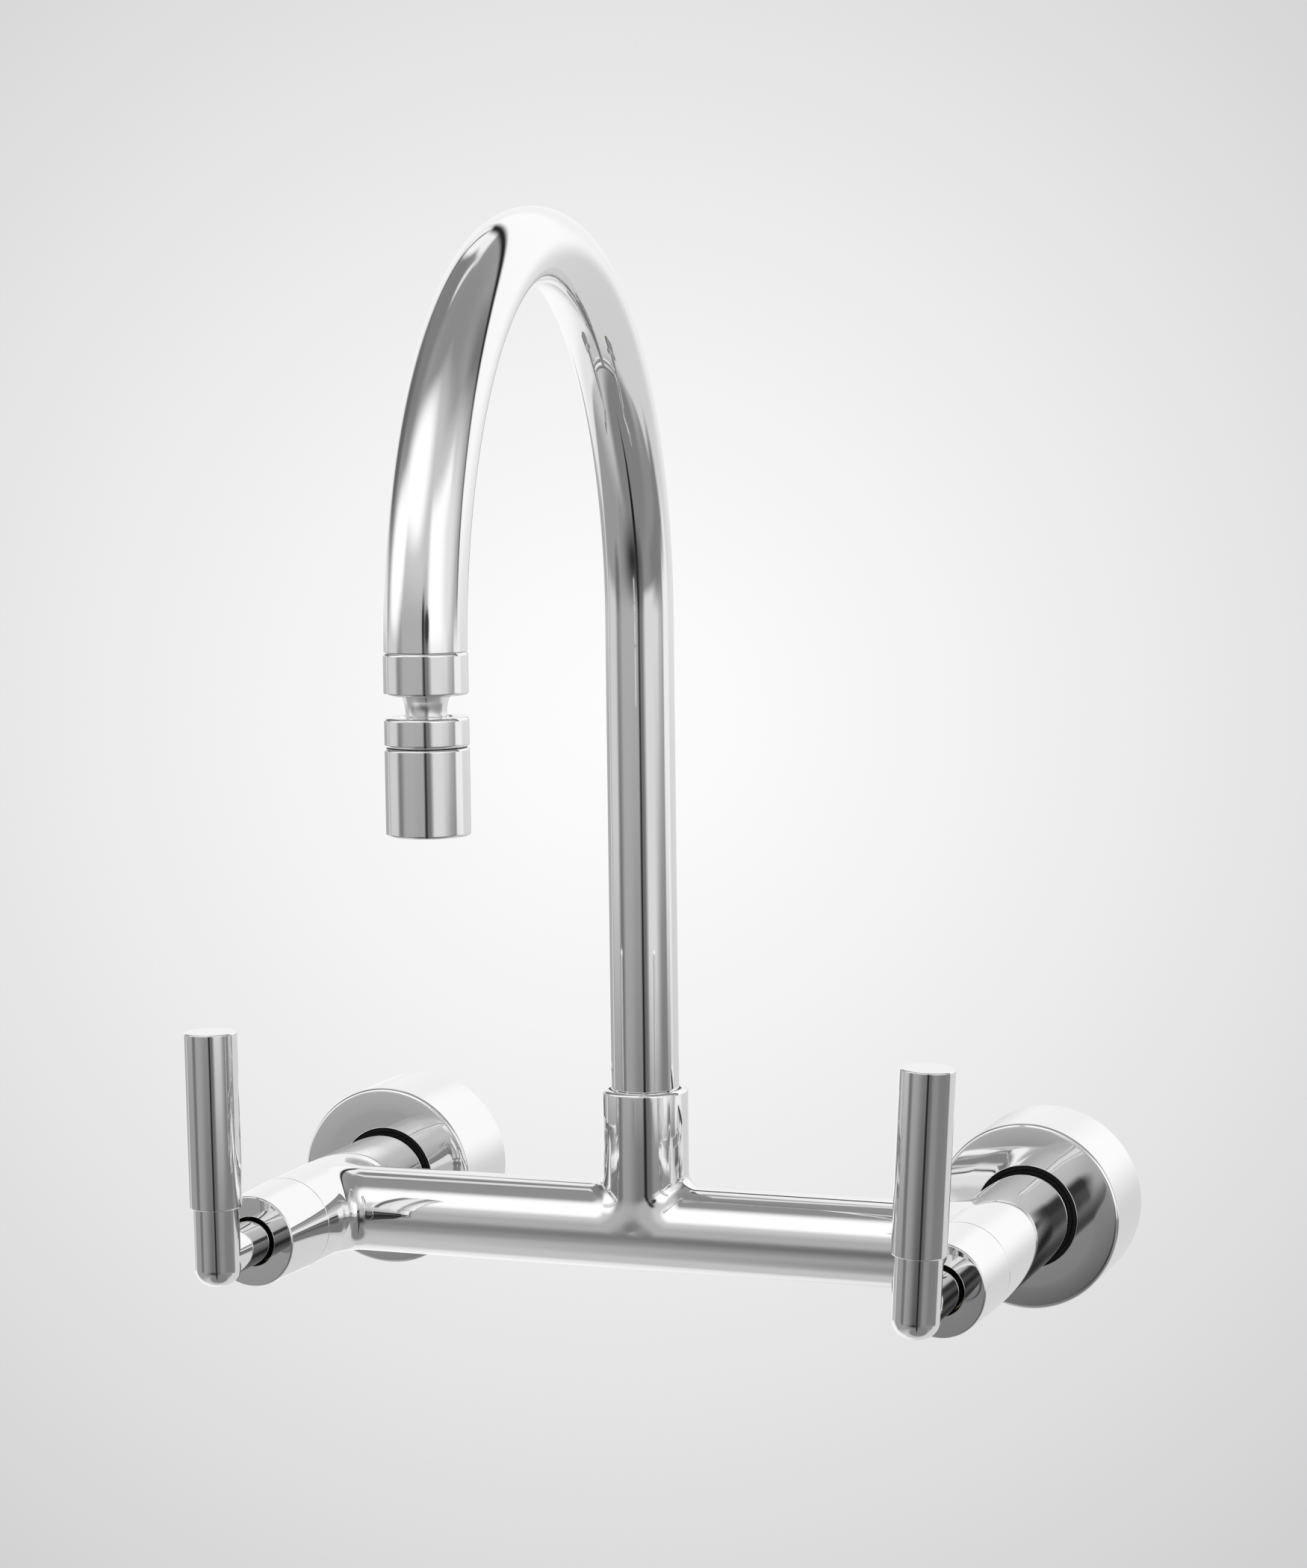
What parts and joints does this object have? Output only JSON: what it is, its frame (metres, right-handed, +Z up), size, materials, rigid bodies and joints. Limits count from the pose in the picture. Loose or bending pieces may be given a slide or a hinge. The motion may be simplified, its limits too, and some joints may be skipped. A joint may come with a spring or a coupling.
{
  "type": "wall-mounted kitchen faucet",
  "caption": "Wall-mounted bridge faucet with a tall swinging gooseneck spout, upright side levers, round wall flanges and a swivelling aerator.",
  "frame": {"origin": "midway between the two wall inlets, where their common centre line meets the finished wall", "axes": "+X to the right seen from the front, +Y into the wall, +Z up; the faucet stands out towards -Y"},
  "size_m": [0.254, 0.2904, 0.3097],
  "materials": {
    "chrome": "mirror-polished chromium plate on brass",
    "brass": "turned, bare",
    "steel": "stainless, fine",
    "black_rubber": "moulded nitrile, satin",
    "black_plastic": "moulded acetal, satin",
    "white_plastic": "low-friction fluoropolymer",
    "grey_plastic": "moulded, satin",
    "ceramic": "lapped alumina"
  },
  "bodies": {
    "mixer": {"left_wall_union": "brass", "left_union_washer": "black_rubber", "left_union_nut": "brass", "left_leg": "chrome", "left_bonnet_cover": "chrome", "left_headwork": "brass", "left_headwork_gasket": "black_rubber", "left_thrust_washer": "white_plastic", "left_fixed_disc": "ceramic", "left_seat_seal": "black_rubber", "right_wall_union": "brass", "right_union_washer": "black_rubber", "right_union_nut": "brass", "right_leg": "chrome", "right_bonnet_cover": "chrome", "right_headwork": "brass", "right_headwork_gasket": "black_rubber", "right_thrust_washer": "white_plastic", "right_fixed_disc": "ceramic", "right_seat_seal": "black_rubber", "mixer_body": "chrome", "swivel_bearing": "black_plastic", "swivel_rest": "white_plastic", "spout_screw": "steel"},
    "left_cover_flange": {"left_flange": "chrome", "left_flange_ring": "black_rubber"},
    "left_lever": {"left_lever_arm": "chrome", "left_lever_sleeve": "chrome", "left_lever_screw": "steel", "left_spindle": "brass", "left_spindle_o_rings": "black_rubber", "left_spindle_clip": "steel", "left_moving_disc": "ceramic"},
    "right_cover_flange": {"right_flange": "chrome", "right_flange_ring": "black_rubber"},
    "right_lever": {"right_lever_arm": "chrome", "right_lever_sleeve": "chrome", "right_lever_screw": "steel", "right_spindle": "brass", "right_spindle_o_rings": "black_rubber", "right_spindle_clip": "steel", "right_moving_disc": "ceramic"},
    "spout": {"spout_tube": "chrome", "swivel_stem": "brass", "swivel_o_rings": "black_rubber", "nozzle_collar": "chrome", "nozzle_gasket": "black_rubber", "swivel_ball": "chrome"},
    "ball_cup": {"ball_seat": "white_plastic"},
    "outlet": {"socket_ring": "chrome", "aerator_housing": "chrome", "aerator_gasket": "black_rubber", "aerator_screens": "steel", "aerator_insert": "grey_plastic"}
  },
  "joints": [
    {"name": "left_flange_slide", "type": "slide", "parent": "mixer", "child": "left_cover_flange", "axis": [0, -1, 0], "range_m": [0, 0.02]},
    {"name": "right_flange_slide", "type": "slide", "parent": "mixer", "child": "right_cover_flange", "axis": [0, -1, 0], "range_m": [0, 0.02]},
    {"name": "left_lever_turn", "type": "hinge", "parent": "mixer", "child": "left_lever", "pos_m": [-0.1, -0.1443, 0], "axis": [0, -1, 0], "range_deg": [-0.5, 89.5]},
    {"name": "right_lever_turn", "type": "hinge", "parent": "mixer", "child": "right_lever", "pos_m": [0.1, -0.1443, 0], "axis": [0, 1, 0], "range_deg": [-3, 87]},
    {"name": "spout_swing", "type": "hinge", "parent": "mixer", "child": "spout", "pos_m": [0, -0.0728, 0.04], "axis": [0, 0, 1], "range_deg": [-105.7, 94.3]},
    {"name": "outlet_swivel", "type": "hinge", "parent": "spout", "child": "ball_cup", "pos_m": [0.01954, -0.26853, 0.1566], "axis": [0, 0, 1], "continuous": true},
    {"name": "outlet_tilt", "type": "hinge", "parent": "ball_cup", "child": "outlet", "pos_m": [0.01954, -0.26853, 0.1566], "axis": [0.9951, 0.0993, 0], "range_deg": [-15, 15]}
  ]
}
